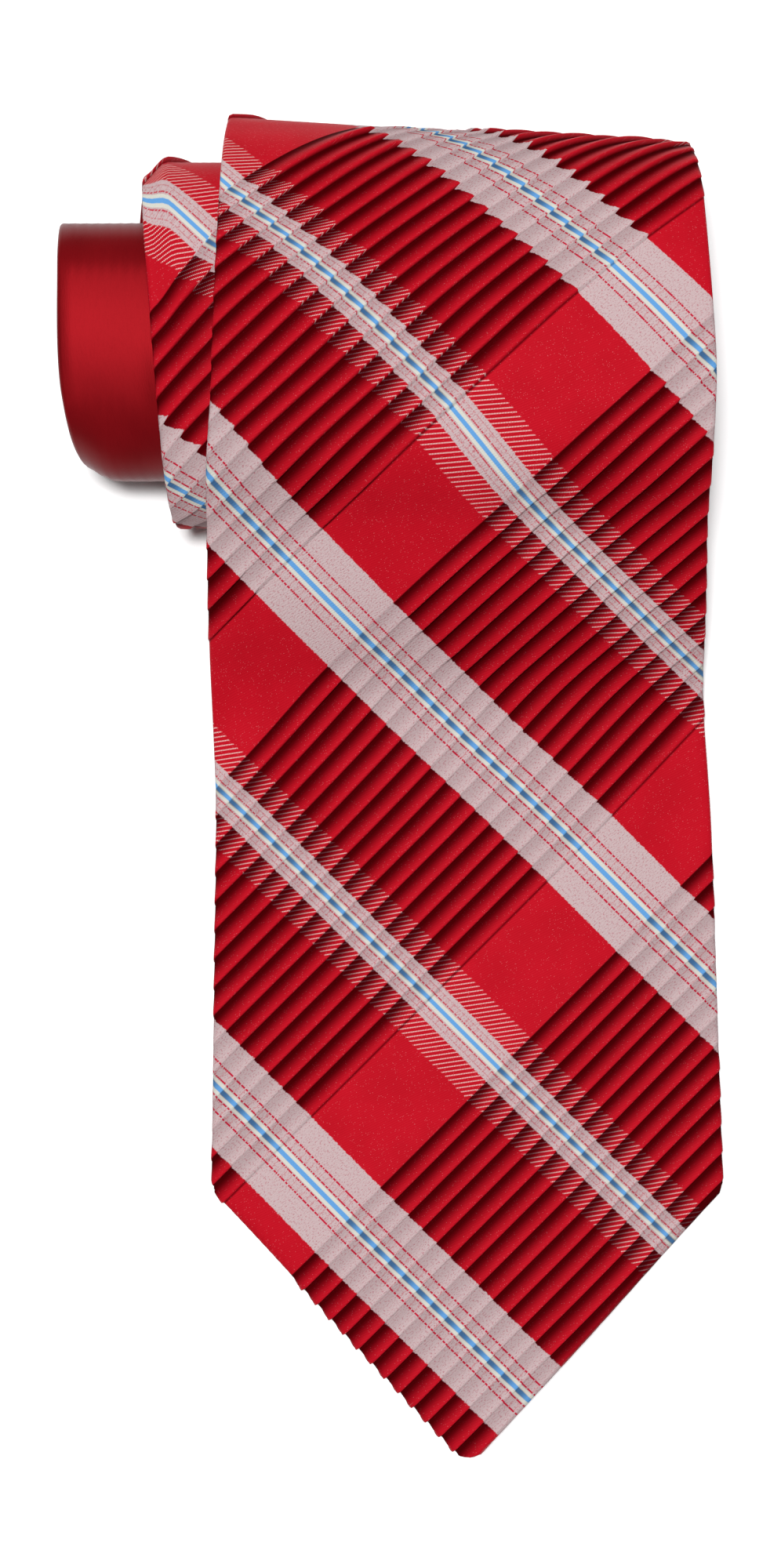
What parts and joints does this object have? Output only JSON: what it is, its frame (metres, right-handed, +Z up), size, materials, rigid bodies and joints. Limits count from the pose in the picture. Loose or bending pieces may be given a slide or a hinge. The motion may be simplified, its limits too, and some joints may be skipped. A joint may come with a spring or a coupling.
{
  "type": "necktie",
  "caption": "Wide pleated plaid silk necktie, folded in half, rolled up flat and laid down with its wide blade out to the tip.",
  "frame": {"origin": "centre of the rolled tie's outline on the table it lies on, at table height", "axes": "+Y from the blade's tip towards the roll, +Z up from the table, +X to the right when the front of the blade is seen with its tip down"},
  "size_m": [0.1213, 0.2423, 0.0303],
  "materials": {
    "plaid_silk": "pleated jacquard silk, red with grey, white and blue bias stripes",
    "satin_silk": "plain red satin",
    "wool": "napped wool canvas",
    "tipping_silk": "smooth red lining silk",
    "loop_silk": "folded red silk band",
    "label_weave": "blank woven label",
    "label_thread": "fine pale sewing thread",
    "thread": "twisted red sewing thread"
  },
  "bodies": {
    "roll": {"blade_rolled_shell": "plaid_silk", "tail_shell": "plaid_silk", "neck_shell": "satin_silk", "blade_rolled_interlining": "wool", "tail_interlining": "wool", "interlining_join_stitch": "thread", "tail_tipping": "tipping_silk", "tail_tipping_stitches": "thread", "care_label": "label_weave", "care_label_stitches": "label_thread", "tail_bar_tack": "thread", "roll_slip_stitch": "thread", "blade_neck_seam": "satin_silk", "neck_tail_seam": "satin_silk"},
    "blade": {"blade_free_shell": "plaid_silk", "blade_free_interlining": "wool", "blade_tipping": "tipping_silk", "blade_tipping_stitches": "thread", "keeper_loop": "loop_silk", "keeper_loop_stitches": "thread", "maker_label": "label_weave", "maker_label_stitches": "label_thread", "blade_bar_tack": "thread", "blade_slip_stitch": "thread", "slip_stitch_loop": "thread"}
  },
  "joints": [
    {"name": "blade_lift", "type": "hinge", "parent": "roll", "child": "blade", "pos_m": [0, 0.01, 0.0039], "axis": [-1, 0, 0], "range_deg": [0, 120]}
  ]
}
